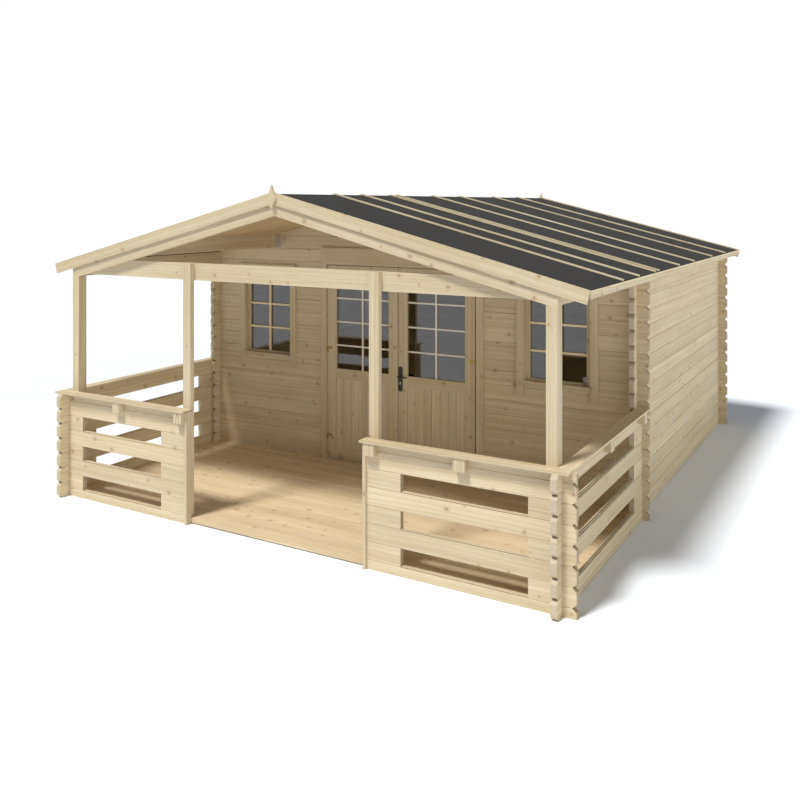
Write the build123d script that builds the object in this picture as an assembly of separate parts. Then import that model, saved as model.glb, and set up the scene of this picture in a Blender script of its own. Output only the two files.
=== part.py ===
"""Log cabin garden shed with a roofed front veranda.

The frame: +Z up, +X to the right of a person facing the front, the front towards -Y.
The origin lies on the ground under the middle of the whole building. Sizes in mm.
"""
import os
from math import cos, radians, sin, tan

from build123d import *

# Logs and walls
log_height = 135
log_thickness = 44
log_end = 100                # how far a log runs on past the wall it crosses
log_groove = 5               # bevel along each log edge
end_notch_depth = 30         # bevel across each log end
end_notch_height = 56
overrun = 20                 # how far cutting shapes reach past what they cut
wall_width = 4732            # over the outer faces of the cabin's side walls
cabin_depth = 3800           # over the outer faces of the front and back walls
veranda_depth = 2020         # front of the balustrade to the front of the cabin
wall_rows = 16
balustrade_rows = 7

# Roof
roof_slope = 14.2            # degrees
eave_overhang = 224          # past the side walls, level
deck_thickness = 18
felt_thickness = 4
bargeboard_thickness = 18
bargeboard_width = 95
bargeboard_rise = 13         # top edge above the felt
eave_strip_thickness = 18
eave_strip_height = 45
batten_width = 20
batten_height = 12
batten_end_inset = 12        # battens end short of the eave strip
veranda_batten_shares = (0.447, 0.670, 0.927, 0.991)
cabin_batten_shares = (0.189, 0.358, 0.591, 0.790)
finial_height = 189
finial_width = 79
finial_rise = 54             # tip above the bargeboard's apex
finial_waist_share = 0.48    # widest place, from the foot up
finial_thickness = 18

# Veranda timbers
post_width = 82
middle_post_width = 84
middle_post_inset = 17       # from the end board's inner face
timber_thickness = 44
rafter_depth = 148           # square to the slope
tie_beam_depth = 145
tie_beam_bottom = 2050
eave_beam_rows = 15          # rows of the side wall under the eave beam
purlin_depth = 135
purlin_place = 1500          # from the middle of the roof
hanger_length = 85
hanger_height = 118
hanger_plate = 3

# Balustrade
entrance_width = 1752        # between the end boards
end_board_thickness = 25
end_board_lap = 20           # ahead of the panel's front face
rail_thickness = 15
rail_width = 110
rail_end_overhang = 4
front_slot_inner_inset = 289 # inner end of the panel to its slots
front_slot_outer_inset = 235 # slots to the side panel's outer face
side_slot_front_inset = 320  # front face of the balustrade to the side slots
side_slot_back_inset = 258   # side slots to the front of the cabin
bracket_width = 90
bracket_height = 95
bracket_depth = 56
front_bracket_insets = (47, 785)   # from the panel's entrance end
side_bracket_places = (965, 1925)

# Floor
floor_top = 50
floor_board = 28
bearer_width = 60
bearer_inset = 60
bearer_place_shares = (-0.86, -0.43, 0, 0.43, 0.86)

# Double door
door_opening_width = 1780
door_opening_top = 2115
jamb_width = 45
stop_width = 12
leaf_thickness = 40
leaf_proud = 8               # leaf's front face ahead of the wall's
leaf_gap = 5
meeting_gap = 7
leaf_bottom = 75
threshold_top = 68
stile_width = 105
top_rail_height = 95
bottom_rail_height = 100
lock_rail_height = 100
leaf_glass_bottom = 1000
panel_recess = 9
glass_thickness = 6

# Windows
window_place = 1642          # middle of the window from the middle of the wall
window_width = 665
window_height = 890
window_bottom = 1040
window_frame_width = 65      # casing and sash together
window_casing_width = 22
window_casing_depth = 80
window_sash_recess = 38      # sash behind the wall's face
window_glass_depth = 60      # middle of the pane behind the wall's face
sill_thickness = 25
sill_depth = 24

# Trim boards on the front wall
trim_thickness = 18
trim_width = 70
door_trim_reveal = 12        # trim's inner edge outside the jamb's face
door_header_height = 175
window_header_height = 160
header_ear_height = 74       # upper part of a header, lapping over the upright trims
window_trim_lap = 40         # trim over the edge of the window frame's opening
window_trim_drop = 80        # side trims below the window opening

# Hinges and handle
knuckle_radius = 6.5
knuckle_half_length = 30
hinge_ahead = 7.5            # pin ahead of the leaf's face
hinge_arm_length = 58
hinge_arm_height = 26
hinge_arm_thickness = 3
hinge_tab_thickness = 8
hinge_tab_height = 16
hinge_heights = (290, 1194)
handle_plate_width = 44
handle_plate_height = 248
handle_plate_thickness = 6
handle_plate_inset = 4       # from the leaf's meeting edge
handle_plate_drop = 153      # foot of the plate under the lever
lever_height = 995
lever_length = 98
lever_standoff = 50
lever_radius = 7
spindle_radius = 8
spindle_clearance = 1

# Places that follow from the sizes above
half_width = wall_width / 2
inner_half = half_width - log_thickness
panel_outer = half_width + log_thickness
cabin_crossings = (-half_width, inner_half)
slope_tan = tan(radians(roof_slope))
slope_cos = cos(radians(roof_slope))
eave_height = wall_rows * log_height
roof_half = half_width + eave_overhang
panel_top = balustrade_rows * log_height
rail_top = panel_top + rail_thickness
eave_beam_low = eave_beam_rows * log_height
tie_beam_top = tie_beam_bottom + tie_beam_depth
total_depth = (log_end + veranda_depth + cabin_depth + log_end + bargeboard_thickness
               + finial_thickness)
front_face = log_end - total_depth / 2
cabin_face = front_face + veranda_depth
back_face = cabin_face + cabin_depth
timber_front = front_face + log_thickness
roof_front = timber_front - bargeboard_thickness
roof_back = back_face + log_end + bargeboard_thickness
timber_middle = timber_front + timber_thickness
timber_back = timber_middle + timber_thickness
entrance_half = entrance_width / 2
panel_end = entrance_half + end_board_thickness
deck_rise = deck_thickness / slope_cos
felt_rise = felt_thickness / slope_cos
opening_half = door_opening_width / 2
leaf_front = cabin_face - leaf_proud
leaf_back = leaf_front + leaf_thickness
leaf_outer = opening_half - jamb_width - leaf_gap
leaf_inner = meeting_gap / 2
leaf_top = door_opening_top - jamb_width - leaf_gap
door_trim_inner = opening_half - jamb_width + door_trim_reveal
hinge_x = (leaf_outer + door_trim_inner) / 2
hinge_y = leaf_front - hinge_ahead
lever_x = leaf_inner + handle_plate_inset + handle_plate_width / 2
window_top = window_bottom + window_height
window_inner = window_place - window_width / 2
window_outer = window_place + window_width / 2


def roof_under(x):
    """Height of the roof boards' underside over a place x."""
    return eave_height + (half_width - abs(x)) * slope_tan


def block(x0, x1, y0, y1, z0, z1):
    """A rectangular block between two opposite corners."""
    size = Box(abs(x1 - x0), abs(y1 - y0), abs(z1 - z0))
    return Pos((x0 + x1) / 2, (y0 + y1) / 2, (z0 + z1) / 2) * size


def slab_along_x(outline, x0, x1):
    """A solid of a (y, z) outline, drawn out from x0 to x1."""
    face = Face(Wire.make_polygon([(x0, y, z) for y, z in outline]))
    return Solid.extrude(face, Vector(x1 - x0, 0, 0))


def slab_along_y(outline, y0, y1):
    """A solid of an (x, z) outline, drawn out from y0 to y1."""
    face = Face(Wire.make_polygon([(x, y0, z) for x, z in outline]))
    return Solid.extrude(face, Vector(0, y1 - y0, 0))


def mirrored(shape):
    """The same piece on the left side of the building."""
    return mirror(shape, about=Plane.YZ)


def pair(shape):
    """A right-hand piece and its mirror image as two solids of one node."""
    return Compound(children=[*shape.solids(), *mirrored(shape).solids()])


def save(name, shape):
    """Write one node's file."""
    export_step(shape, os.path.join("parts", name + ".step"))


# Log walls

def front_seam(row):
    """Height of one of the seams in the walls along X."""
    return log_height / 2 + row * log_height


def front_seam_row(height):
    """Number of the seam in the walls along X that lies at or under a height."""
    return int((height - front_seam(0)) // log_height)


def joints_between(low, high, first):
    """Heights of the seams between logs that lie inside a wall."""
    rows = int(high // log_height) + wall_rows
    seams = [first + row * log_height for row in range(rows)]
    margin = end_notch_height / 2
    return [z for z in seams if low + margin < z < high - margin]


def log_section(near, far, low, high, seams):
    """Outline across a wall: both faces bevelled where two logs meet."""
    up = [(near, low - overrun)]
    for z in seams:
        up += [(near, z - log_groove), (near + log_groove, z), (near, z + log_groove)]
    up.append((near, high + overrun))
    return up + [(near + far - t, z) for t, z in reversed(up)]


def log_elevation(start, stop, low, high, seams, start_notched, stop_notched, whole=()):
    """Outline along a wall: free log ends are bevelled at each seam and at the edges of whole logs."""
    half = end_notch_height / 2

    def end_points(place, inward, notched):
        foot, head = [(place, low)], [(place, high)]
        if notched and low in whole:
            foot = [(place + inward, low), (place, low + half)]
        if notched and high in whole:
            head = [(place, high - half), (place + inward, high)]
        points = []
        for z in seams if notched else ():
            points += [(place, z - half), (place + inward, z), (place, z + half)]
        return foot + points + head

    left = end_points(start, end_notch_depth, start_notched)
    right = end_points(stop, -end_notch_depth, stop_notched)
    return left + right[::-1]


def crossing_slots(seams, place):
    """Notches half a log high where the other wall's logs pass through."""
    quarter = log_height / 4
    return [(place, place + log_thickness, z - quarter, z + quarter) for z in seams]


def wall_along_x(start, stop, near, low, high, ends_notched, crossings):
    """A stack of logs along X, half a log lower than the walls that it crosses."""
    far = near + log_thickness
    seams = joints_between(low, high, front_seam(0))
    section = log_section(near, far, low, high, seams)
    across = slab_along_x(section, start - overrun, stop + overrun)
    outline = log_elevation(start, stop, low, high, seams, *ends_notched)
    wall = across & slab_along_y(outline, near - overrun, far + overrun)
    all_seams = joints_between(-log_height, high + log_height, front_seam(-1))
    cuts = []
    for place in crossings:
        if start < place and place + log_thickness < stop:
            for x0, x1, z0, z1 in crossing_slots(all_seams, place):
                cuts.append(block(x0, x1, near - overrun, far + overrun, z0, z1))
    return wall - cuts if cuts else wall


def wall_along_y(start, stop, near, low, high, ends_notched, crossings):
    """A stack of whole logs along Y on the right side of the building."""
    far = near + log_thickness
    seams = joints_between(low, high, 0)
    section = log_section(near, far, low, high, seams)
    across = slab_along_y(section, start - overrun, stop + overrun)
    outline = log_elevation(start, stop, low, high, seams, *ends_notched, whole=(0, panel_top))
    wall = across & slab_along_x(outline, near - overrun, far + overrun)
    all_seams = joints_between(-log_height, high + log_height, -log_height)
    cuts = []
    for place in crossings:
        for y0, y1, z0, z1 in crossing_slots(all_seams, place):
            cuts.append(block(near - overrun, far + overrun, y0, y1, z0, z1))
    return wall - cuts


def under_roof(near):
    """The space below the roof boards over one wall along X."""
    reach = half_width + log_end + overrun
    outline = [(-reach, -overrun), (reach, -overrun), (reach, roof_under(reach))]
    outline += [(0, roof_under(0)), (-reach, roof_under(reach))]
    return slab_along_y(outline, near - overrun, near + log_thickness + overrun)


def side_wall():
    """The cabin's right side wall, its top bevelled to the roof."""
    top = roof_under(inner_half)
    start = cabin_face - log_end
    stop = back_face + log_end
    crossings = (cabin_face, back_face - log_thickness)
    wall = wall_along_y(start, stop, inner_half, 0, top, (True, True), crossings)
    past = half_width + overrun
    bevel = [(inner_half, top), (past, roof_under(past)), (past, top)]
    return wall - slab_along_y(bevel, start - overrun, stop + overrun)


def back_wall():
    """The back wall and its gable in one stack of logs."""
    reach = half_width + log_end
    near = back_face - log_thickness
    wall = wall_along_x(-reach, reach, near, 0, roof_under(0), (True, True), cabin_crossings)
    return wall & under_roof(near)


def front_wall():
    """The whole front wall and its gable, with the doorway and both windows cut out."""
    reach = half_width + log_end
    far = cabin_face + log_thickness
    wall = wall_along_x(-reach, reach, cabin_face, 0, roof_under(0), (True, True), cabin_crossings)
    doorway = block(-opening_half, opening_half, cabin_face, far, 0, door_opening_top)
    window = block(window_inner, window_outer, cabin_face, far, window_bottom, window_top)
    return (wall & under_roof(cabin_face)) - [doorway, window, mirrored(window)]


def front_wall_rows():
    """The gable, and the right half's rows below, beside and above the window."""
    reach = half_width + log_end
    below = front_seam(front_seam_row(window_bottom) + 1)
    above = front_seam(front_seam_row(window_top))
    top = front_seam(eave_beam_rows)
    wall = front_wall()

    def cut(x0, x1, low, high):
        return wall & block(x0, x1, cabin_face - overrun, cabin_face + log_thickness + overrun,
                            low, high)

    gable = cut(-reach, reach, top, roof_under(0))
    lower = cut(opening_half, reach, 0, below)
    inner = cut(opening_half, window_inner, below, above)
    outer = cut(window_outer, reach, below, above)
    upper = cut(opening_half, reach, above, top)
    return gable, lower, inner, outer, upper


# Veranda balustrade

def front_balustrade():
    """The right front panel of logs with its slots."""
    stop = panel_outer + log_end
    panel = wall_along_x(panel_end, stop, front_face, 0, panel_top, (False, True), (half_width,))
    slots = []
    for row in range(0, balustrade_rows - 1, 2):
        slots.append(block(panel_end + front_slot_inner_inset,
                           panel_outer - front_slot_outer_inset,
                           front_face, front_face + log_thickness,
                           front_seam(row), front_seam(row + 1)))
    return panel - slots


def side_balustrade():
    """The right side panel, outside the cabin's log ends and up to its front wall."""
    panel = wall_along_y(front_face - log_end, cabin_face, half_width, 0, panel_top,
                         (True, False), (front_face,))
    slots = []
    for row in range(1, balustrade_rows, 2):
        low = row * log_height
        slots.append(block(half_width, panel_outer, front_face + side_slot_front_inset,
                           cabin_face - side_slot_back_inset, low, low + log_height))
    return panel - slots


def end_board():
    """The upright board on the inner end of a front panel."""
    return block(entrance_half, panel_end, front_face - end_board_lap,
                 front_face + log_thickness, 0, panel_top)


def rails():
    """The right front rail and side rail, mitred at the corner."""
    rail_back = front_face + log_thickness
    rail_front = rail_back - rail_width
    rail_outer = half_width + rail_width
    rail_start = entrance_half - rail_end_overhang
    front = [(rail_start, rail_front), (rail_outer, rail_front), (half_width, rail_back),
             (rail_start, rail_back)]
    side = [(rail_outer, rail_front), (rail_outer, cabin_face), (half_width, cabin_face),
            (half_width, rail_back)]

    def board(outline):
        face = Face(Wire.make_polygon([(x, y, panel_top) for x, y in outline]))
        return Solid.extrude(face, Vector(0, 0, rail_thickness))

    return board(front), board(side)


def rail_brackets():
    """Blocks under the outer edge of the right-hand rails."""
    low = panel_top - bracket_height
    half = bracket_width / 2
    blocks = [block(panel_end + x - half, panel_end + x + half, front_face - bracket_depth, front_face,
                    low, panel_top) for x in front_bracket_insets]
    for place in side_bracket_places:
        y = front_face + place
        blocks.append(block(panel_outer, panel_outer + bracket_depth, y - half, y + half,
                            low, panel_top))
    return Compound(children=[solid for item in blocks for solid in item.solids()])


# Veranda timbers

def rafter():
    """The right front rafter, from the ridge to over the corner post."""
    drop = rafter_depth / slope_cos
    outline = [(0, roof_under(0)), (half_width, roof_under(half_width)),
               (half_width, roof_under(half_width) - drop), (0, roof_under(0) - drop)]
    return slab_along_y(outline, timber_front, timber_middle)


def corner_post():
    """The right post in the corner of the panels, its front half cut to the rafter."""
    post = block(half_width - post_width, half_width, timber_front, timber_back,
                 floor_top, eave_beam_low)
    return post - rafter()


def middle_post():
    """The right middle post, in front of the tie beam."""
    inner = entrance_half + middle_post_inset
    return block(inner, inner + middle_post_width, timber_front, timber_middle,
                 floor_top, tie_beam_top) - rafter()


def tie_beam():
    """The level beam across the veranda's front, behind the middle posts."""
    flat = half_width - (tie_beam_top - eave_height) / slope_tan
    outline = [(-inner_half, tie_beam_bottom), (inner_half, tie_beam_bottom),
               (inner_half, roof_under(inner_half)), (flat, tie_beam_top), (-flat, tie_beam_top),
               (-inner_half, roof_under(inner_half))]
    return slab_along_y(outline, timber_middle, timber_back)


def eave_beam():
    """The right eave beam, in line with the side wall, from the rafter to the log ends."""
    outline = [(inner_half, eave_beam_low), (half_width, eave_beam_low),
               (half_width, roof_under(half_width)), (inner_half, roof_under(inner_half))]
    return slab_along_y(outline, timber_middle, cabin_face - log_end)


def purlin(place, start, stop):
    """A purlin under the roof boards, its top bevelled to them."""
    half = timber_thickness / 2
    low = roof_under(place + half) - purlin_depth
    outline = [(place - half, low), (place + half, low), (place + half, roof_under(place + half))]
    if place == 0:
        outline.append((0, roof_under(0)))
    outline.append((place - half, roof_under(place - half)))
    return slab_along_y(outline, start, stop)


def purlins(start, stop):
    """Ridge purlin and one purlin in the middle of each slope."""
    side = purlin(purlin_place, start, stop)
    return Compound(children=[purlin(0, start, stop), side, *mirrored(side).solids()])


def purlin_hanger():
    """The folded metal shoe that carries the right purlin at the gable wall."""
    half = timber_thickness / 2
    low = roof_under(purlin_place + half) - purlin_depth
    outer = half + hanger_plate
    shell = block(purlin_place - outer, purlin_place + outer, cabin_face - hanger_length,
                  cabin_face, low - hanger_plate, low + hanger_height)
    seat = block(purlin_place - half, purlin_place + half, cabin_face - hanger_length,
                 cabin_face, low, low + hanger_height)
    return shell - seat


# Roof

def sloped_layer(low_rise, high_rise, reach, start, stop):
    """A layer of the right-hand slope, from the ridge out to a level reach."""
    outline = [(0, roof_under(0) + low_rise), (reach, roof_under(reach) + low_rise),
               (reach, roof_under(reach) + high_rise), (0, roof_under(0) + high_rise)]
    return slab_along_y(outline, start, stop)


def batten_places():
    """Middles of the battens along the roof: over the veranda, then over the cabin."""
    places = [roof_front + share * (cabin_face - roof_front) for share in veranda_batten_shares]
    return places + [cabin_face + share * (roof_back - cabin_face)
                     for share in cabin_batten_shares]


def roof_layers():
    """Roof boards, felt and battens of the right-hand slope."""
    start = roof_front + bargeboard_thickness
    stop = roof_back - bargeboard_thickness
    reach = roof_half - eave_strip_thickness
    top = deck_rise + felt_rise
    deck = sloped_layer(0, deck_rise, reach, start, stop)
    felt = sloped_layer(deck_rise, top, reach, start, stop)
    half = batten_width / 2
    rise = batten_height / slope_cos
    battens = [sloped_layer(top, top + rise, reach - batten_end_inset, y - half, y + half)
               for y in batten_places()]
    return deck, felt, Compound(children=battens)


def eave_strip():
    """The upright board that closes the right-hand edge of the roof."""
    inner = roof_half - eave_strip_thickness
    rise = deck_rise + felt_rise
    low = roof_under(roof_half) + rise - eave_strip_height
    outline = [(inner, low), (roof_half, low), (roof_half, roof_under(roof_half) + rise),
               (inner, roof_under(inner) + rise)]
    return slab_along_y(outline, roof_front + bargeboard_thickness,
                        roof_back - bargeboard_thickness)


def bargeboards():
    """The right front and right back bargeboards, cut square at the eave."""
    top = roof_under(0) + deck_rise + felt_rise + bargeboard_rise
    drop = bargeboard_width / slope_cos
    end_x = roof_half
    end_z = top - end_x * slope_tan
    back_x = end_x - bargeboard_width * sin(radians(roof_slope))
    back_z = end_z - bargeboard_width * slope_cos
    outline = [(0, top), (end_x, end_z), (back_x, back_z), (0, top - drop)]
    front = slab_along_y(outline, roof_front, roof_front + bargeboard_thickness)
    back = slab_along_y(outline, roof_back - bargeboard_thickness, roof_back)
    return Compound(children=[front, back])


def finials():
    """Pointed boards over the joints of the bargeboards, front and back."""
    tip = roof_under(0) + deck_rise + felt_rise + bargeboard_rise + finial_rise
    foot = tip - finial_height
    waist = foot + finial_waist_share * finial_height
    half = finial_width / 2
    outline = [(0, tip), (half, waist), (0, foot), (-half, waist)]
    front = slab_along_y(outline, roof_front - finial_thickness, roof_front)
    back = slab_along_y(outline, roof_back, roof_back + finial_thickness)
    return Compound(children=[front, back])


# Floor

def floors():
    """Veranda floor, running out between the balustrades, and the cabin's floor."""
    low = floor_top - floor_board
    inside = front_face + log_thickness
    veranda = block(-half_width, half_width, inside, cabin_face, low, floor_top)
    log_ends = block(inner_half, half_width, cabin_face - log_end, cabin_face, low, floor_top)
    mouth = block(-entrance_half, entrance_half, front_face, inside, 0, floor_top)
    veranda = veranda + mouth - [log_ends, mirrored(log_ends)]
    cabin = block(-inner_half, inner_half, cabin_face + log_thickness, back_face - log_thickness,
                  low, floor_top)
    return veranda, cabin


def floor_bearers():
    """Bearers on the ground under both floors."""
    top = floor_top - floor_board
    half = bearer_width / 2
    spans = ((front_face + log_thickness + bearer_inset, cabin_face - bearer_inset),
             (cabin_face + log_thickness + bearer_inset, back_face - log_thickness - bearer_inset))
    rows = []
    for share in bearer_place_shares:
        x = share * inner_half
        rows += [block(x - half, x + half, y0, y1, 0, top) for y0, y1 in spans]
    return Compound(children=[solid for item in rows for solid in item.solids()])


# Double door

def door_jamb():
    """The right jamb, with the stop that the leaf closes against."""
    far = cabin_face + log_thickness
    inner = opening_half - jamb_width
    jamb = block(inner, opening_half, cabin_face, far, 0, door_opening_top)
    stop = block(inner - stop_width, inner, leaf_back + leaf_gap, far, threshold_top,
                 door_opening_top - jamb_width)
    return jamb + stop


def door_head_and_threshold():
    """The frame's head and the threshold between the jambs."""
    far = cabin_face + log_thickness
    half = opening_half - jamb_width
    head = block(-half, half, cabin_face, far, door_opening_top - jamb_width, door_opening_top)
    threshold = block(-half, half, cabin_face, far, 0, threshold_top)
    return Compound(children=[*head.solids(), *threshold.solids()])


def leaf_hole_sizes():
    """Left, right, low and high edges of the glazed opening in the right leaf."""
    return (leaf_inner + stile_width, leaf_outer - stile_width, leaf_glass_bottom,
            leaf_top - top_rail_height)


def door_leaf():
    """The right leaf: stiles, rails, an open light and a recessed panel."""
    leaf = block(leaf_inner, leaf_outer, leaf_front, leaf_back, leaf_bottom, leaf_top)
    x0, x1, z0, z1 = leaf_hole_sizes()
    light = block(x0, x1, leaf_front, leaf_back, z0, z1)
    panel_low = leaf_bottom + bottom_rail_height
    panel_high = leaf_glass_bottom - lock_rail_height
    outside = block(x0, x1, leaf_front, leaf_front + panel_recess, panel_low, panel_high)
    inside = block(x0, x1, leaf_back - panel_recess, leaf_back, panel_low, panel_high)
    return leaf - [light, outside, inside]


def leaf_glass():
    """The pane of the right leaf."""
    x0, x1, z0, z1 = leaf_hole_sizes()
    middle = (leaf_front + leaf_back) / 2
    return block(x0, x1, middle - glass_thickness / 2, middle + glass_thickness / 2, z0, z1)


def upright_pin(x, y, radius, z0, z1):
    """A round pin or knuckle standing between two heights."""
    return Pos(x, y, (z0 + z1) / 2) * Cylinder(radius, abs(z1 - z0))


def level_pin(x, z, radius, y0, y1):
    """A round pin lying front to back."""
    return Pos(x, (y0 + y1) / 2, z) * Rot(90, 0, 0) * Cylinder(radius, abs(y1 - y0))


def leaf_hinges():
    """The right leaf's upper knuckles with their arms on the leaf's face."""
    pieces = []
    for z in hinge_heights:
        knuckle = upright_pin(hinge_x, hinge_y, knuckle_radius, z, z + knuckle_half_length)
        low = z + (knuckle_half_length - hinge_arm_height) / 2
        arm = block(hinge_x - hinge_arm_length, hinge_x, leaf_front - hinge_arm_thickness,
                    leaf_front, low, low + hinge_arm_height)
        pieces += (knuckle + arm).solids()
    return Compound(children=pieces)


def frame_hinges():
    """The lower knuckles, each on a tab that is screwed to the right jamb."""
    pieces = []
    for z in hinge_heights:
        knuckle = upright_pin(hinge_x, hinge_y, knuckle_radius, z - knuckle_half_length, z)
        half = hinge_tab_thickness / 2
        low = z - knuckle_half_length
        tab = block(hinge_x - half, hinge_x + half, hinge_y, cabin_face, low,
                    low + hinge_tab_height)
        pieces += (knuckle + tab).solids()
    return Compound(children=pieces)


def handle_plate(near, far):
    """A long handle plate with round ends, bored for the spindle."""
    half = handle_plate_width / 2
    foot = lever_height - handle_plate_drop
    low = foot + half
    high = foot + handle_plate_height - half
    plate = block(lever_x - half, lever_x + half, near, far, low, high)
    plate = plate + level_pin(lever_x, low, half, near, far)
    plate = plate + level_pin(lever_x, high, half, near, far)
    return plate - level_pin(lever_x, lever_height, spindle_radius + spindle_clearance, near, far)


def door_lever():
    """Both lever handles on their common spindle."""
    outside = leaf_front - lever_standoff
    inside = leaf_back + lever_standoff
    lever = level_pin(lever_x, lever_height, spindle_radius, outside - spindle_radius,
                      inside + spindle_radius)
    for y in (outside, inside):
        grip = Pos(lever_x + lever_length / 2, y, lever_height) * Rot(0, 90, 0)
        lever = lever + grip * Cylinder(lever_radius, lever_length)
    return lever


# Windows and trim boards

def window_field(margin, near, far):
    """A block in the right window's opening, smaller by a margin all round."""
    return block(window_inner + margin, window_outer - margin, near, far,
                 window_bottom + margin, window_top - margin)


def window_frame():
    """The right window's casing, with the sash set back in it."""
    far = cabin_face + window_casing_depth
    reveal = window_field(window_casing_width, cabin_face, cabin_face + window_sash_recess)
    light = window_field(window_frame_width, cabin_face, far)
    return window_field(0, cabin_face, far) - [reveal, light]


def window_glass():
    """The right window's pane."""
    middle = cabin_face + window_glass_depth
    return window_field(window_frame_width, middle - glass_thickness / 2,
                        middle + glass_thickness / 2)


def upright_trim(x0, x1, low, high):
    """A board on the front wall beside the doorway or a window."""
    return block(x0, x1, cabin_face - trim_thickness, cabin_face, low, high)


def eared_header(left, right, low, height):
    """A header board with ears that lap over the upright trims on both sides."""
    top = low + height
    ear = top - header_ear_height
    outline = [(left, low), (right, low), (right, ear), (right + trim_width, ear),
               (right + trim_width, top), (left - trim_width, top), (left - trim_width, ear),
               (left, ear)]
    return slab_along_y(outline, cabin_face - trim_thickness, cabin_face)


def door_trims():
    """The right upright trim and the whole header of the doorway."""
    low = door_opening_top - jamb_width + leaf_gap
    ear = low + door_header_height - header_ear_height
    side = upright_trim(door_trim_inner, door_trim_inner + trim_width, floor_top, ear)
    return side, eared_header(-door_trim_inner, door_trim_inner, low, door_header_height)


def window_trims():
    """Two upright trims, the header and the sill of the right window."""
    inner = window_inner + window_trim_lap / 2
    outer = window_outer - window_trim_lap / 2
    head = window_top - window_trim_lap
    ear = head + window_header_height - header_ear_height
    low = window_bottom - window_trim_drop
    sides = [upright_trim(inner - trim_width, inner, low, ear),
             upright_trim(outer, outer + trim_width, low, ear)]
    sill_low = window_bottom + window_trim_lap / 2
    sill = block(inner, outer, cabin_face - sill_depth, cabin_face, sill_low,
                 sill_low + sill_thickness)
    return sides, eared_header(inner, outer, head, window_header_height), sill


def trim_boards():
    """Upright trims, header boards and sills of the whole front wall."""
    door_side, door_header = door_trims()
    window_sides, window_header, sill = window_trims()
    uprights = [solid for item in (door_side, *window_sides) for solid in item.solids()]
    headers = [*door_header.solids(), *pair(window_header).solids()]
    return pair(Compound(children=uprights)), Compound(children=headers), pair(sill)


def both_sides(name, shape):
    """Write a right-hand piece and its mirror image as two nodes."""
    save("right_" + name, shape)
    save("left_" + name, mirrored(shape))


def save_walls():
    """Write the log walls of the cabin."""
    both_sides("side_wall", side_wall())
    save("back_wall", back_wall())
    gable, lower, inner, outer, upper = front_wall_rows()
    save("front_gable", gable)
    both_sides("front_wall_lower", lower)
    both_sides("front_wall_piers", Compound(children=[*inner.solids(), *outer.solids()]))
    save("front_wall_window_heads", pair(upper))


def save_veranda():
    """Write the balustrades, posts, beams and purlins."""
    both_sides("front_balustrade", front_balustrade())
    both_sides("side_balustrade", side_balustrade())
    save("balustrade_end_boards", pair(end_board()))
    front_rail, side_rail = rails()
    save("front_rails", pair(front_rail))
    save("side_rails", pair(side_rail))
    save("rail_brackets", pair(rail_brackets()))
    save("corner_posts", pair(corner_post()))
    save("middle_posts", pair(middle_post()))
    save("tie_beam", tie_beam())
    both_sides("front_rafter", rafter())
    save("eave_beams", pair(eave_beam()))
    save("veranda_purlins", purlins(timber_middle, cabin_face))
    save("cabin_purlins", purlins(cabin_face + log_thickness, back_face - log_thickness))
    save("purlin_hangers", pair(purlin_hanger()))


def save_roof_and_floor():
    """Write the roof's layers and edges, the floors and their bearers."""
    deck, felt, battens = roof_layers()
    both_sides("roof_boards", deck)
    both_sides("roof_felt", felt)
    both_sides("roof_battens", battens)
    save("eave_strips", pair(eave_strip()))
    both_sides("bargeboards", bargeboards())
    save("finials", finials())
    veranda_floor, cabin_floor = floors()
    save("veranda_floor", veranda_floor)
    save("cabin_floor", cabin_floor)
    save("floor_bearers", floor_bearers())


def save_door():
    """Write the double door's frame, leaves, hinges and handle."""
    save("door_jambs", pair(door_jamb()))
    save("door_head_and_threshold", door_head_and_threshold())
    bore = level_pin(lever_x, lever_height, spindle_radius + spindle_clearance, leaf_front,
                     leaf_back)
    leaf = door_leaf()
    save("right_door_leaf", leaf - bore)
    save("left_door_leaf", mirrored(leaf))
    both_sides("door_glass", leaf_glass())
    both_sides("door_hinges", leaf_hinges())
    save("frame_hinges", pair(frame_hinges()))
    plates = [handle_plate(leaf_front - handle_plate_thickness, leaf_front),
              handle_plate(leaf_back, leaf_back + handle_plate_thickness)]
    save("handle_plates", Compound(children=[solid for item in plates for solid in item.solids()]))
    save("door_lever", door_lever())


def save_windows():
    """Write the windows and the boards around the openings."""
    save("window_frames", pair(window_frame()))
    save("window_glass", pair(window_glass()))
    uprights, headers, sills = trim_boards()
    save("upright_trims", uprights)
    save("header_trims", headers)
    save("window_sills", sills)


def main():
    """Build every piece and write one file for each node."""
    os.makedirs("parts", exist_ok=True)
    save_walls()
    save_veranda()
    save_roof_and_floor()
    save_door()
    save_windows()


main()
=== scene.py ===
# %% [markdown]
# # A spruce log cabin with a veranda, dressed in Blender
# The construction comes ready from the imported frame: every log wall, post, rafter, door leaf and hinge is
# already there at its real size. This lesson adds what a carpenter and a painter would still see missing:
# the grain and knots of the spruce, the boards of the floors and the roof, the glazing bars, the small
# marks at the log ends, and the light. Everything is in metres, in the frame's own coordinates.

# %% Load the frame
import math

import bmesh
import bpy
from mathutils import Matrix, Vector


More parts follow.
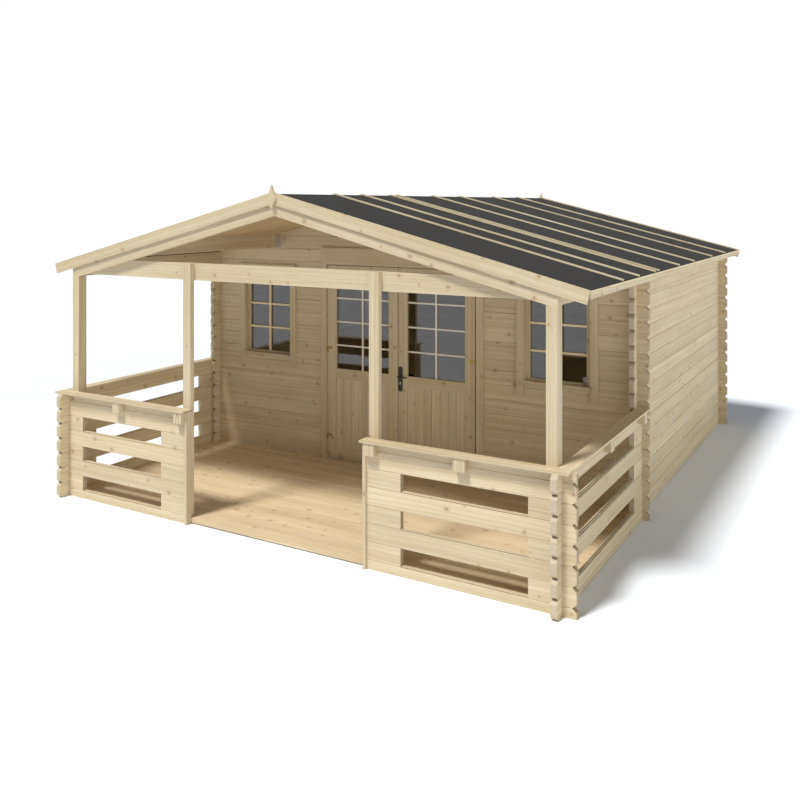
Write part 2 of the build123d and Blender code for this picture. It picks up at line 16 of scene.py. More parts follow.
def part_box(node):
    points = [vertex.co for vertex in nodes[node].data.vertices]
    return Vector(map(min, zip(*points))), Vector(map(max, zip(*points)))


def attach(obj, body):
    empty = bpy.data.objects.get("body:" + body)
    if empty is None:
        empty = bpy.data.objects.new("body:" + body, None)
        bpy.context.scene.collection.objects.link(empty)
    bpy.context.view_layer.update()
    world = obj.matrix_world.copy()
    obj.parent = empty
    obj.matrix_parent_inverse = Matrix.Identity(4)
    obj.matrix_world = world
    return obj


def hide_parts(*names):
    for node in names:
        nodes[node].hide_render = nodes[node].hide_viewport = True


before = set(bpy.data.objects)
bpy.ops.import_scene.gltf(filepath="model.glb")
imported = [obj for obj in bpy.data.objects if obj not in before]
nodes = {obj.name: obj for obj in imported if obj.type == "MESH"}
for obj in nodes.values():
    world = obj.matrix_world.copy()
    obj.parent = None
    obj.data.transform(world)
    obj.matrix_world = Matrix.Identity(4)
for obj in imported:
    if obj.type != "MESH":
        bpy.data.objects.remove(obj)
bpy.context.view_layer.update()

scene = bpy.context.scene

# %% [markdown]
# ## Sizes read from the frame
# The few sizes that the finishes need are measured on the nodes instead of being typed again, so a shed
# that is packed a little longer or taller is still dressed right. The log height can't be measured on one
# box, but the front panel is seven logs high under its rail.

# %% Sizes read from the frame
def right_half(name):
    """Lowest and highest corner of the part of a node that lies on the right of the middle."""
    points = [v.co for v in nodes[name].data.vertices if v.co.x > 0]
    return [Vector([pick(p[i] for p in points) for i in range(3)]) for pick in (min, max)]


panel_low, panel_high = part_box("right_front_balustrade")
side_low, side_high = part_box("right_side_balustrade")
wall_low, wall_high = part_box("right_side_wall")
leaf_low, leaf_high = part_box("right_door_leaf")
felt_low, felt_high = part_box("right_roof_felt")
deck_low, deck_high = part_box("right_roof_boards")
frame_low, frame_high = right_half("window_frames")
balustrade_rows = 7
felt_thickness = 0.004
log_height = (panel_high.z - panel_low.z) / balustrade_rows
log_thickness = panel_high.y - panel_low.y
half_width, inner_half = wall_high.x, wall_low.x
panel_outer = side_high.x
log_end = panel_high.x - panel_outer
front_face = panel_low.y
cabin_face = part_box("front_gable")[0].y
back_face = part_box("back_wall")[1].y
roof_slope = math.atan2(felt_high.z - felt_low.z - felt_thickness, felt_high.x - felt_low.x)
print("log", round(log_height, 4), "x", round(log_thickness, 4), "slope", round(math.degrees(roof_slope), 2))

# %% [markdown]
# ## Camera
# The picture was taken with a level camera, so upright posts stay upright and the frame is only shifted
# down to take in the ground. The focal length in pixels and the camera's place were worked out from edges
# whose real length is known, such as the rails, the ridge and the corner posts.

# %% Camera
image_width = 800
focal_pixels = 872.7
horizon_row = 204
camera_place = Vector((4.354, cabin_face - 7.493, 2.70))
camera_yaw = math.radians(30.06)

lens = bpy.data.cameras.new("camera")
lens.sensor_width = 36.0
lens.lens = focal_pixels / image_width * lens.sensor_width
lens.shift_y = (horizon_row - image_width / 2) / image_width
camera = bpy.data.objects.new("camera", lens)
camera.location = camera_place
camera.rotation_euler = (math.radians(90), 0, camera_yaw)
scene.collection.objects.link(camera)
scene.camera = camera
print("camera: lens", round(lens.lens, 2), "mm, shift", round(lens.shift_y, 3))

# %% [markdown]
# ## Lamps
# A sun stands in front of the shed and a little to its left, so the front faces and the floor at the
# entrance are lit and the ground shadow falls to the right and behind. The edges of that shadow are very
# soft, so the sun is given a wide angle. A weak, low second lamp fills the right side.

# %% Lamps
def sun_lamp(name, travel, strength, spread):
    """A distant lamp that shines along a direction."""
    data = bpy.data.lights.new(name, "SUN")
    data.energy = strength * math.pi
    data.angle = math.radians(spread)
    lamp = bpy.data.objects.new(name, data)
    lamp.rotation_euler = Vector(travel).to_track_quat("-Z", "Y").to_euler()
    scene.collection.objects.link(lamp)
    print("lamp", name, "of strength", strength, "and", spread, "degrees")


sun_lamp("sun", travel=(0.160, 0.470, -0.866), strength=1.02, spread=11.5)
sun_lamp("fill", travel=(-0.93, 0.28, -0.06), strength=0.45, spread=50.0)

# %% [markdown]
# ## Sky
# A plain sky does the rest of the lighting. As light it is dim and a little cool, which keeps the shadow
# grey; the camera, reflections and glass see it as plain white. The kind of ray that meets the sky tells
# the two apart. Like every finish below, the sky is a tree of small nodes, so a few helpers come first: one
# adds a node and feeds its sockets with numbers or with other nodes' outputs, one does a step of
# arithmetic, and one mixes two colours.

# %% Helpers for node trees
def feed(tree, socket, value):
    """Link an output to a socket, or set the socket's own value."""
    if isinstance(value, bpy.types.NodeSocket):
        tree.links.new(value, socket)
    else:
        socket.default_value = value


def add_node(tree, kind, sockets, **settings):
    """A new shader node with its settings and sockets filled in."""
    node = tree.nodes.new("ShaderNode" + kind)
    for key, value in settings.items():
        setattr(node, key, value)
    for key, value in sockets.items():
        feed(tree, node.inputs[key], value)
    return node


def calc(tree, operation, *values):
    """One step of arithmetic on numbers or sockets."""
    return add_node(tree, "Math", dict(enumerate(values)), operation=operation).outputs[0]


def blend_colours(tree, share, first, second, blend_type="MIX"):
    """Mix two colours by a share."""
    node = add_node(tree, "Mix", {}, data_type="RGBA", blend_type=blend_type)
    for place, value in ((0, share), (6, first), (7, second)):
        feed(tree, node.inputs[place], value)
    return node.outputs[2]

# %% Sky
sky_light = 0.180
cool_light = (0.88, 0.97, 1.14, 1)
plain_white = (1, 1, 1, 1)


def seen_directly(tree):
    """One for camera, glossy and transmission rays, and zero for rays that carry light."""
    path = add_node(tree, "LightPath", {}).outputs
    seen = calc(tree, "MAXIMUM", path["Is Camera Ray"], path["Is Glossy Ray"])
    return calc(tree, "MAXIMUM", seen, path["Is Transmission Ray"])


sky = bpy.data.worlds.new("white_sky")
sky.use_nodes = True
seen = seen_directly(sky.node_tree)
level = add_node(sky.node_tree, "MapRange", {"Value": seen, "To Min": sky_light, "To Max": 1.0})
background = sky.node_tree.nodes["Background"].inputs
feed(sky.node_tree, background["Strength"], level.outputs["Result"])
feed(sky.node_tree, background["Color"], blend_colours(sky.node_tree, seen, cool_light, plain_white))
scene.world = sky
scene.view_settings.view_transform = "Standard"
print("sky:", sky_light, "as light")

# %% [markdown]
# ## Studio floor
# The ground is a plain pale sheet that runs far out. It is lit just enough to reach white, so it melts into
# the white sky, and it keeps the grey shadow of the shed.

# %% Studio floor
floor_reach = 60.0
floor_drop = 0.002
paper_white = (0.935, 0.965, 1.000, 1)
floor_mesh = bpy.data.meshes.new("studio_floor")
corners = [(x * floor_reach, y * floor_reach, -floor_drop) for x, y in ((-1, -1), (1, -1), (1, 1), (-1, 1))]
floor_mesh.from_pydata(corners, [], [(0, 1, 2, 3)])
studio_floor = bpy.data.objects.new("studio_floor", floor_mesh)
scene.collection.objects.link(studio_floor)
paper = bpy.data.materials.new("pale_paper")
paper.use_nodes = True
paper_shader = paper.node_tree.nodes["Principled BSDF"]
paper_shader.inputs["Base Color"].default_value = paper_white
paper_shader.inputs["Roughness"].default_value = 0.9
paper_shader.inputs["Specular IOR Level"].default_value = 0.0
floor_mesh.materials.append(paper)
print("studio floor", 2 * floor_reach, "m wide")

# %% [markdown]
# ## Knots
# A knot is the foot of a branch: a small dark heart with a warm halo. Knots are scattered without order, so
# they are taken from a pattern of cells: each cell has one middle and a random colour, and that colour says
# whether a knot sits there and how big it is. The helpers that come first serve all the finishes: noise is
# a value that changes smoothly from place to place, stretching makes it long in one direction, as fibres
# are, and a soft step turns it into patches or lines.

# %% Helpers for noise and soft steps
def ramp(tree, value, low, high, to_low=0.0, to_high=1.0):
    """A soft step of a value between two levels."""
    sockets = {"Value": value, "From Min": low, "From Max": high, "To Min": to_low, "To Max": to_high}
    return add_node(tree, "MapRange", sockets, interpolation_type="SMOOTHSTEP").outputs["Result"]


def noise(tree, vector, detail=2.0, roughness=0.5):
    """Soft noise in space, about 0.5 in the middle."""
    sockets = {"Vector": vector, "Scale": 1.0, "Detail": detail, "Roughness": roughness}
    return add_node(tree, "TexNoise", sockets, noise_dimensions="3D").outputs["Fac"]


def line_noise(tree, value, scale, detail=1.0):
    """Noise along one line, for bands and rings."""
    sockets = {"W": value, "Scale": scale, "Detail": detail, "Roughness": 0.6}
    return add_node(tree, "TexNoise", sockets, noise_dimensions="1D").outputs["Fac"]


def stretched(tree, vector, scales):
    """A vector scaled differently along its three axes."""
    return add_node(tree, "VectorMath", {0: vector, 1: scales}, operation="MULTIPLY").outputs[0]

# %% Knots
cell_stretch, cells_to_a_metre = (0.85, 1, 0), 5.9
knot_chance = (0.36, 0.56)
knot_sizes = (0.020, 0.090)
heart_reach, halo_reach = (1.50, 0.10), (3.2, 0.5)


def knots(tree, place):
    """Knot and halo strength at a place on the timber."""
    spot = stretched(tree, place, cell_stretch)
    cells = add_node(tree, "TexVoronoi", {"Vector": spot, "Scale": cells_to_a_metre},
                     voronoi_dimensions="2D", feature="F1")
    chance = add_node(tree, "SeparateColor", {0: cells.outputs["Color"]}).outputs[0]
    size = ramp(tree, chance, knot_chance[0], 1.0, *knot_sizes)
    far = calc(tree, "DIVIDE", cells.outputs["Distance"], size)
    present = ramp(tree, chance, *knot_chance)
    return [calc(tree, "MULTIPLY", ramp(tree, far, *reach), present) for reach in (heart_reach, halo_reach)]


print("knots:", cells_to_a_metre, "cells to a metre")

# %% [markdown]
# ## Spruce
# Planed spruce is pale cream with faint bands along the grain and thin darker growth lines that wander and
# flow round the knots. A picture of wood would repeat and stretch, so the grain is worked out in space
# instead: the recipe takes a place as (along the grain, across it, through the board) and the number of the
# log or board, and every log gets its own stretch of timber. On end faces the figure is calmer and a little
# greyer. Knots are left out on the edges of boards, where they would show as stripes.

# %% The spruce recipe
cream = (0.714, 0.615, 0.410, 1)
straw = (0.570, 0.455, 0.266, 1)
growth_line = (0.470, 0.345, 0.185, 1)
knot_rim = (0.510, 0.330, 0.190, 1)
knot_heart = (0.260, 0.165, 0.090, 1)
end_grain = (0.520, 0.440, 0.310, 1)
band_share, blotch_share, ring_share = 0.50, 0.40, 0.46
fibre_share, streak_share = 0.12, 0.22
halo_share, heart_share, end_share = 0.34, 0.60, 0.75
darkest_piece, piece_spread, piece_shift = 0.77, 0.13, (37.0, 11.0, 5.0)
lean, wander_width, knot_bulge = 0.55, 0.070, 0.012
rings_to_a_metre, bands_to_a_metre = 118.0, 34.0
ring_height, fibre_height = 0.6, 0.5
plain_rough, fibre_rough, heart_rough = 0.52, 0.16, -0.15


def spruce_grain():
    """The node group that turns a place in the timber into colour, roughness and height."""
    group = bpy.data.node_groups.new("spruce_grain", "ShaderNodeTree")
    for name, kind in (("Place", "Vector"), ("Piece", "Float"), ("End", "Float"), ("Edge", "Float")):
        group.interface.new_socket(name, in_out="INPUT", socket_type="NodeSocket" + kind)
    for name, kind in (("Color", "Color"), ("Roughness", "Float"), ("Height", "Float")):
        group.interface.new_socket(name, in_out="OUTPUT", socket_type="NodeSocket" + kind)
    given = group.nodes.new("NodeGroupInput")
    draw = add_node(group, "TexWhiteNoise", {"W": given.outputs["Piece"]}, noise_dimensions="1D")
    shift = stretched(group, draw.outputs["Color"], piece_shift)
    place = add_node(group, "VectorMath", {0: given.outputs["Place"], 1: shift}).outputs[0]
    axes = add_node(group, "SeparateXYZ", {0: place})
    face = calc(group, "SUBTRACT", 1.0, given.outputs["Edge"])
    heart, halo = [calc(group, "MULTIPLY", part, face) for part in knots(group, place)]
    wander = noise(group, stretched(group, place, (0.75, 5.0, 5.0)), 1.0)
    line = calc(group, "MULTIPLY_ADD", axes.outputs[2], lean, axes.outputs[1])
    line = calc(group, "MULTIPLY_ADD", wander, wander_width, line)
    line = calc(group, "MULTIPLY_ADD", halo, knot_bulge, line)
    rings = ramp(group, line_noise(group, line, rings_to_a_metre, 2.0), 0.44, 0.74)
    bands = ramp(group, line_noise(group, line, bands_to_a_metre), 0.30, 0.68)
    blotch = noise(group, stretched(group, place, (1.1, 6.0, 6.0)), 2.0)
    streak = noise(group, stretched(group, place, (7.0, 95.0, 95.0)), 2.0, 0.6)
    fibre = noise(group, stretched(group, place, (9.0, 520.0, 520.0)), 2.0, 0.65)
    warm = calc(group, "MULTIPLY", ramp(group, blotch, 0.3, 0.7), blotch_share)
    warm = calc(group, "MULTIPLY_ADD", bands, band_share, warm)
    colour = blend_colours(group, warm, cream, straw)
    colour = blend_colours(group, calc(group, "MULTIPLY", rings, ring_share), colour, growth_line)
    tone = calc(group, "MULTIPLY_ADD", draw.outputs["Value"], piece_spread, darkest_piece)
    tone = calc(group, "MULTIPLY_ADD", fibre, fibre_share, tone)
    tone = calc(group, "MULTIPLY_ADD", streak, streak_share, tone)
    grey = add_node(group, "CombineXYZ", {i: tone for i in range(3)}).outputs[0]
    colour = blend_colours(group, 1.0, colour, grey, "MULTIPLY")
    for share, strength, shade in ((halo, halo_share, knot_rim), (heart, heart_share, knot_heart),
                                   (given.outputs["End"], end_share, end_grain)):
        colour = blend_colours(group, calc(group, "MULTIPLY", share, strength), colour, shade)
    height = calc(group, "MULTIPLY", fibre, fibre_height)
    height = calc(group, "MULTIPLY_ADD", rings, ring_height, height)
    rough = calc(group, "MULTIPLY_ADD", heart, heart_rough, plain_rough)
    rough = calc(group, "MULTIPLY_ADD", fibre, fibre_rough, rough)
    result = group.nodes.new("NodeGroupOutput")
    for name, value in (("Color", colour), ("Roughness", rough), ("Height", height)):
        group.links.new(value, result.inputs[name])
    return group


grain_group = spruce_grain()
print("spruce recipe:", len(grain_group.nodes), "nodes")

# %% [markdown]
# ## Directions of the grain
# Logs lie along X or Y, posts stand, rafters follow the roof. The recipe only has to be told which
# coordinate runs along the grain, so this step gives a name to each one that is needed: the frame's own
# three, the distance out from the middle, the way down the slope and the way off it. The two slopes are
# shifted apart, so that left and right rafters are not cut from the same timber.

# %% Directions of the grain
slope_shift = 3.7


def grain_axes(tree):
    """The coordinates that grain can follow, and the way that a face looks, by name."""
    spot = tree.nodes.new("ShaderNodeTexCoord")
    x, y, z = add_node(tree, "SeparateXYZ", {0: spot.outputs["Object"]}).outputs
    out = calc(tree, "ABSOLUTE", x)
    sine, cosine = math.sin(roof_slope), math.cos(roof_slope)
    down = calc(tree, "SUBTRACT", calc(tree, "MULTIPLY", out, cosine), calc(tree, "MULTIPLY", z, sine))
    off = calc(tree, "ADD", calc(tree, "MULTIPLY", out, sine), calc(tree, "MULTIPLY", z, cosine))
    shift = calc(tree, "MULTIPLY", calc(tree, "SIGN", x), slope_shift)
    axes = {"x": x, "y": y, "z": z, "down": calc(tree, "ADD", down, shift), "off": off, "out": out}
    normal = add_node(tree, "SeparateXYZ", {0: spot.outputs["Normal"]})
    return axes, dict(zip("xyz", normal.outputs))


print("grain runs level, upright or down a slope of", round(math.degrees(roof_slope), 2), "degrees")

# %% [markdown]
# ## Rails in the joinery
# Door leaves and window frames are joinery: their stiles stand, and their rails lie level between them. One
# mesh holds both, so the finish itself turns the grain: between the stiles, and between the lower and upper
# edge of each rail, the level direction takes over.

# %% Rails in the joinery
stile_width, window_stile = 0.105, 0.065
foot_rail, head_rail = 0.10, 0.095
panel_bottom, panel_top, pane_bottom = leaf_low.z + foot_rail, 0.90, 1.0
leaf_rails = ((leaf_low.x + stile_width, leaf_high.x - stile_width),
              ((leaf_low.z, panel_bottom), (panel_top, pane_bottom), (leaf_high.z - head_rail, leaf_high.z)))
window_rails = ((0.0, half_width), ((frame_low.z, frame_low.z + window_stile),
                                    (frame_high.z - window_stile, frame_high.z)))


def within(tree, value, low, high):
    """One where a value lies between two levels."""
    above = calc(tree, "GREATER_THAN", value, low)
    return calc(tree, "MULTIPLY", above, calc(tree, "LESS_THAN", value, high))


def turned_in_rails(tree, axes, place, rails):
    """The place in the grain, turned level where a rail lies between two stiles."""
    span, levels = rails
    level = within(tree, axes["z"], *levels[0])
    for low, high in levels[1:]:
        level = calc(tree, "MAXIMUM", level, within(tree, axes["z"], low, high))
    turned = calc(tree, "MULTIPLY", level, within(tree, axes["out"], *span))
    lying = add_node(tree, "CombineXYZ", {0: axes["x"], 1: axes["z"], 2: axes["y"]}).outputs[0]
    mix = add_node(tree, "Mix", {}, data_type="VECTOR")
    for socket, value in ((0, turned), (4, place), (5, lying)):
        feed(tree, mix.inputs[socket], value)
    return mix.outputs[1]


print("rails:", len(leaf_rails[1]), "in a door leaf,", len(window_rails[1]), "in a window")

# %% [markdown]
# ## One recipe, many materials
# Each material only says which way the grain runs and, where pieces lie side by side, how wide one piece
# is, so that neighbours differ. On timber that lies along the front, the ends face sideways. They carry
# painted shade: browner than the rest, most of all on the sloping faces of the notches, where the log above
# casts its shadow.

# %% How a spruce material is made
finishes = {}
# Painted shade for the ends that face sideways and for the sloping faces of the notches.
notch_shade = (0.66, 0.58, 0.47, 1)
end_facing, edge_facing, slant_facing = (0.50, 0.62), (0.6, 0.9), (0.30, 0.42)
end_shade = 0.6
layers_to_a_metre, rows_in_a_layer = 0.9, 31.0


def looking(tree, facing, axis, levels):
    """One on faces that look along an axis, and zero for an axis that no face is measured on."""
    return ramp(tree, calc(tree, "ABSOLUTE", facing[axis]), *levels) if axis in facing else 0.0


def shaded_ends(tree, facing, end, colour):
    """The colour of level timber with painted shade on the ends that face sideways, most where they slant in
    the notches.
    """
    slant = calc(tree, "ABSOLUTE", calc(tree, "MULTIPLY", facing["x"], facing["z"]))
    painted_shade = calc(tree, "MAXIMUM", ramp(tree, slant, *slant_facing), calc(tree, "MULTIPLY", end, end_shade))
    return blend_colours(tree, painted_shade, colour, notch_shade, "MULTIPLY")


def add_bump(tree, shader, height, strength, distance):
    """Let a height tilt the surface a little."""
    bump = add_node(tree, "Bump", {"Strength": strength, "Distance": distance, "Height": height})
    feed(tree, shader["Normal"], bump.outputs[0])


def spruce(name, along, across, depth, pitch=0.0, first=0.0, rails=None, tint=None):
    """A spruce material whose grain runs along one axis, with a new piece at every pitch across it."""
    material = bpy.data.materials.new(name)
    material.use_nodes = True
    tree = material.node_tree
    axes, facing = grain_axes(tree)
    place = add_node(tree, "CombineXYZ", {0: axes[along], 1: axes[across], 2: axes[depth]}).outputs[0]
    if rails:
        place = turned_in_rails(tree, axes, place, rails)
    end = looking(tree, facing, along, end_facing)
    edge = looking(tree, facing, across, edge_facing)
    piece = calc(tree, "FLOOR", calc(tree, "MULTIPLY_ADD", axes[depth], layers_to_a_metre, 0.5))
    if pitch:
        row = calc(tree, "FLOOR", calc(tree, "DIVIDE", calc(tree, "SUBTRACT", axes[across], first), pitch))
        piece = calc(tree, "MULTIPLY_ADD", piece, rows_in_a_layer, row)
    wood = add_node(tree, "Group", {}, node_tree=grain_group)
    for key, value in (("Place", place), ("Piece", piece), ("End", end), ("Edge", edge)):
        feed(tree, wood.inputs[key], value)
    colour = wood.outputs["Color"]
    if tint:
        colour = blend_colours(tree, 1.0, colour, tint, "MULTIPLY")
    # Painted shade on the ends that face sideways and in the notches.
    if along == "x" and across == "z":
        colour = shaded_ends(tree, facing, end, colour)
    shader = tree.nodes["Principled BSDF"].inputs
    feed(tree, shader["Base Color"], colour)
    feed(tree, shader["Roughness"], wood.outputs["Roughness"])
    feed(tree, shader["Specular IOR Level"], 0.3)
    add_bump(tree, shader, wood.outputs["Height"], strength=0.22, distance=0.002)
    finishes[name] = material

# %% Spruce materials
spruce("logs_along_front", "x", "z", "y", log_height, log_height / 2)
spruce("logs_along_side", "y", "z", "x", log_height, 0.0)
spruce("level_timber", "x", "z", "y")
spruce("deep_timber", "y", "z", "x")
spruce("upright_timber", "z", "x", "y")
spruce("sloped_timber", "down", "off", "y")
spruce("batten_timber", "down", "off", "y", tint=(1.14, 1.15, 1.18, 1))
spruce("door_joinery", "z", "x", "y", rails=leaf_rails)
spruce("window_joinery", "z", "x", "y", rails=window_rails)
print("spruce materials:", sorted(finishes))

# %% [markdown]
# ## Felt
# The roof is covered with mineral felt: nearly black, with fine grit that breaks up the sheen, and a little
# cloudy from one half metre to the next. Two noises of different fineness give both.

# %% Felt
felt_dark, felt_pale = (0.0090, 0.0088, 0.0080, 1), (0.030, 0.0285, 0.0255, 1)


def plain_material(name):
    """A new material with its tree, the inputs of its shader, and the place in the frame."""
    material = bpy.data.materials.new(name)
    material.use_nodes = True
    tree = material.node_tree
    spot = tree.nodes.new("ShaderNodeTexCoord").outputs["Object"]
    return material, tree, tree.nodes["Principled BSDF"].inputs, spot


def felt_finish():
    """Bitumen felt with mineral grit."""
    material, tree, shader, spot = plain_material("mineral_felt")
    grit = noise(tree, stretched(tree, spot, (420, 420, 420)), 3.0, 0.7)
    cloud = noise(tree, stretched(tree, spot, (1.3, 2.1, 1.3)), 3.0)
    shade = calc(tree, "MULTIPLY_ADD", grit, 0.6, calc(tree, "MULTIPLY", cloud, 0.4))
    feed(tree, shader["Base Color"], blend_colours(tree, shade, felt_dark, felt_pale))
    feed(tree, shader["Roughness"], 0.93)
    feed(tree, shader["Specular IOR Level"], 0.2)
    add_bump(tree, shader, grit, strength=0.5, distance=0.002)
    return material


finishes["felt"] = felt_finish()
print("felt:", len(finishes["felt"].node_tree.nodes), "nodes")

# %% [markdown]
# ## Glass
# The panes mirror the pale sky and ground, and the room behind them stays dark. Real panes are never quite
# flat or clean, so the glass is a little wavy and smeared. It is also a little smoky, which keeps the room
# dark without hiding it.

# %% Glass
glass_tone, mirror_tone = (0.50, 0.47, 0.43, 1), (1.0, 0.975, 0.95, 1)


def glass_finish():
    """Window glass, a little wavy and with faint smears."""
    material, tree, shader, spot = plain_material("window_glass")
    smear = noise(tree, stretched(tree, spot, (6, 6, 11)), 3.0)
    wave = noise(tree, stretched(tree, spot, (1.6, 1.6, 2.4)), 0.0)
    for key, value in (("Base Color", glass_tone), ("Transmission Weight", 1.0), ("IOR", 1.77),
                       ("Specular Tint", mirror_tone), ("Roughness", ramp(tree, smear, 0.5, 0.8, 0.0, 0.05))):
        feed(tree, shader[key], value)
    add_bump(tree, shader, wave, strength=0.02, distance=0.002)
    return material


finishes["glass"] = glass_finish()
print("glass:", len(finishes["glass"].node_tree.nodes), "nodes")

# %% [markdown]
# ## Metals and painted shade
# Hinges are brassed steel, the door handle is black lacquer, and the purlin shoes are zinc. The dark strips
# beside the slot tongues and over the eave beams are painted shade for narrow gaps where hardly any light
# comes back: a dark brown with a trace of grain. The marks at the log ends are painted shade of the same
# brown, a little paler. All of them are one recipe: a surface that is clouded between a dark and a pale tone.

# %% Metals and painted shade
def clouded_finish(name, dark, pale, roughness, metallic, scale):
    """A surface whose tone and roughness vary a little from place to place."""
    material, tree, shader, spot = plain_material(name)
    cloud = noise(tree, stretched(tree, spot, (scale, scale, scale)), 4.0, 0.6)
    feed(tree, shader["Base Color"], blend_colours(tree, cloud, (*dark, 1), (*pale, 1)))
    feed(tree, shader["Roughness"], ramp(tree, cloud, 0.2, 0.8, roughness * 0.8, roughness * 1.25))
    feed(tree, shader["Metallic"], metallic)
    add_bump(tree, shader, cloud, strength=0.08, distance=0.0005)
    return material


clouded = {
    "brass": ("brassed_steel", (0.24, 0.145, 0.032), (0.52, 0.34, 0.09), 0.42, 0.7, 60.0),
    "lacquer": ("black_lacquer", (0.006, 0.006, 0.007), (0.020, 0.020, 0.022), 0.42, 0.0, 90.0),
    "zinc": ("zinc_steel", (0.52, 0.51, 0.54), (0.72, 0.71, 0.75), 0.45, 0.6, 70.0),
    # Painted shade: the marks at the log ends and the dark strips in the slots and over the eave beams.
    "joint_shade": ("painted_joint_shade", (0.110, 0.078, 0.044), (0.190, 0.140, 0.084), 0.85, 0.0, 160.0),
    "gap_shade": ("painted_gap_shade", (0.095, 0.064, 0.034), (0.150, 0.105, 0.060), 0.85, 0.0, 160.0),
}
for finish, recipe in clouded.items():
    finishes[finish] = clouded_finish(*recipe)
print("finishes:", len(finishes))

# %% [markdown]
# ## Dress the frame
# Every node of the frame gets its finish by name. A node keeps its mesh; only its material slot changes.
# Sides that mirror each other share a finish, and because the grain is worked out in space, they still
# differ.

# %% Dress the frame
node_finish = {
    "logs_along_front": ("back_wall", "front_gable", "front_wall_window_heads", "*_front_wall_lower",
                         "*_front_wall_piers", "*_front_balustrade"),
    "logs_along_side": ("*_side_wall", "*_side_balustrade"),
    "level_timber": ("front_rails", "tie_beam", "header_trims", "window_sills", "door_head_and_threshold",
                     "veranda_floor", "cabin_floor"),
    "deep_timber": ("side_rails", "eave_beams", "veranda_purlins", "cabin_purlins", "floor_bearers",
                    "eave_strips"),
    "upright_timber": ("corner_posts", "middle_posts", "balustrade_end_boards", "upright_trims", "door_jambs",
                       "rail_brackets", "finials"),
    "sloped_timber": ("*_front_rafter", "*_bargeboards", "*_roof_boards"),
    "batten_timber": ("*_roof_battens",),
    "door_joinery": ("*_door_leaf",),
    "window_joinery": ("window_frames",),
    "felt": ("*_roof_felt",),
    "glass": ("*_door_glass", "window_glass"),
    "brass": ("*_door_hinges", "frame_hinges"),
    "lacquer": ("handle_plates", "door_lever"),
    "zinc": ("purlin_hangers",),
}
sides = (("left", -1), ("right", 1))


def both_sides(name):
    """The names that a pattern stands for: left and right where it has a star."""
    return [name.replace("*", side) for side, sign in sides] if "*" in name else [name]


dressed = set()
for finish, patterns in node_finish.items():
    for name in [full for pattern in patterns for full in both_sides(pattern)]:
        materials = nodes[name].data.materials
        materials.clear()
        materials.append(finishes[finish])
        dressed.add(name)
print("dressed", len(dressed), "nodes; left over:", sorted(set(nodes) - dressed))

# %% [markdown]
# ## Floors
# Both floors are tongue-and-groove boards laid along the front, with the tongue hidden and a narrow groove
# left on top. Each board is a top slat over a full-width strip, so no light falls through the grooves.
# Where the side walls' log ends stand on the veranda, the last board is cut short. At the entrance a board
# on edge closes the floor: it stands a little back from the panels' face and just clear of the ground, so
# it stays dry. Boards, bars and tongues are all planed timber with slightly broken edges. One helper builds
# any number of them as separate solids in one mesh, and another turns the mesh into a piece: it gives the
# piece its finish, lets it ride on the body it belongs to, and hides the node it stands for.

# %% Helpers for boards and bars
def soft_blocks(blocks, soften):
    """Separate blocks, given by two opposite corners, with broken edges."""
    form = bmesh.new()
    for first, second in blocks:
        middle = (Vector(first) + Vector(second)) / 2
        size = [abs(b - a) for a, b in zip(first, second)]
        stretch = Matrix.Translation(middle) @ Matrix.Diagonal((*size, 1))
        bmesh.ops.create_cube(form, size=1.0, matrix=stretch)
    bmesh.ops.bevel(form, geom=form.edges[:], offset=soften, segments=1, profile=0.5, affect="EDGES")
    return form


def add_piece(name, form, finish, body, stands_for=(), place=None):
    """Turn a form into a piece that rides on a body and takes its finish from a slot."""
    if place:
        bmesh.ops.transform(form, matrix=place, verts=form.verts[:])
    bmesh.ops.recalc_face_normals(form, faces=form.faces[:])
    mesh = bpy.data.meshes.new(name)
    form.to_mesh(mesh)
    form.free()
    mesh.materials.append(finishes[finish])
    piece = bpy.data.objects.new(name, mesh)
    scene.collection.objects.link(piece)
    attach(piece, body)
    for node in stands_for:
        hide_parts(node)
    print(name + ":", len(mesh.polygons), "faces on", body)

# %% Floors
floor_low, floor_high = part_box("veranda_floor")
room_low, room_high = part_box("cabin_floor")
floor_pitch, floor_groove = 0.0988, 0.003
board_edge = 0.0012
step_inset, step_lift = 0.028, 0.008
nearly = 0.001
board_seam = (room_low.z + room_high.z) / 2
step_back = front_face + log_thickness
ends_front = cabin_face - log_end
mouth_half = max(v.co.x for v in nodes["veranda_floor"].data.vertices if v.co.y < step_back - nearly)
spruce("floor_boarding", "x", "y", "z", floor_pitch, step_back, tint=(1.08, 1.04, 1.00, 1))


def floor_boards(start, stop, reach_at):
    """Boards along the front from one depth to another, as far out as each board may reach."""
    count = round((stop - start) / floor_pitch)
    pitch = (stop - start) / count
    slit = floor_groove / 2
    blocks = []
    for i in range(count):
        near, far = start + i * pitch, start + (i + 1) * pitch
        reach = reach_at(far - slit)
        blocks.append(((-reach, near + slit, board_seam), (reach, far - slit, room_high.z)))
        blocks.append(((-reach, near, room_low.z), (reach, far, board_seam)))
    return blocks


veranda_blocks = floor_boards(step_back, floor_high.y,
                              lambda far: half_width if far < ends_front else inner_half)
veranda_blocks.append(((-mouth_half, front_face + step_inset, floor_low.z + step_lift),
                       (mouth_half, step_back, floor_high.z)))
cabin_blocks = floor_boards(room_low.y, room_high.y, lambda far: inner_half)
add_piece("veranda_boards", soft_blocks(veranda_blocks, board_edge), "floor_boarding", "root",
          stands_for=("veranda_floor",))
add_piece("cabin_boards", soft_blocks(cabin_blocks, board_edge), "floor_boarding", "root",
          stands_for=("cabin_floor",))

# %% [markdown]
# ## Roof boards
# The roof is closed with narrow boards that run from the ridge down to the eaves. From the veranda their
# underside shows, with a groove at every joint. They are laid out flat, in the slope's own plane, and then
# turned down to the right or, mirrored, to the left.

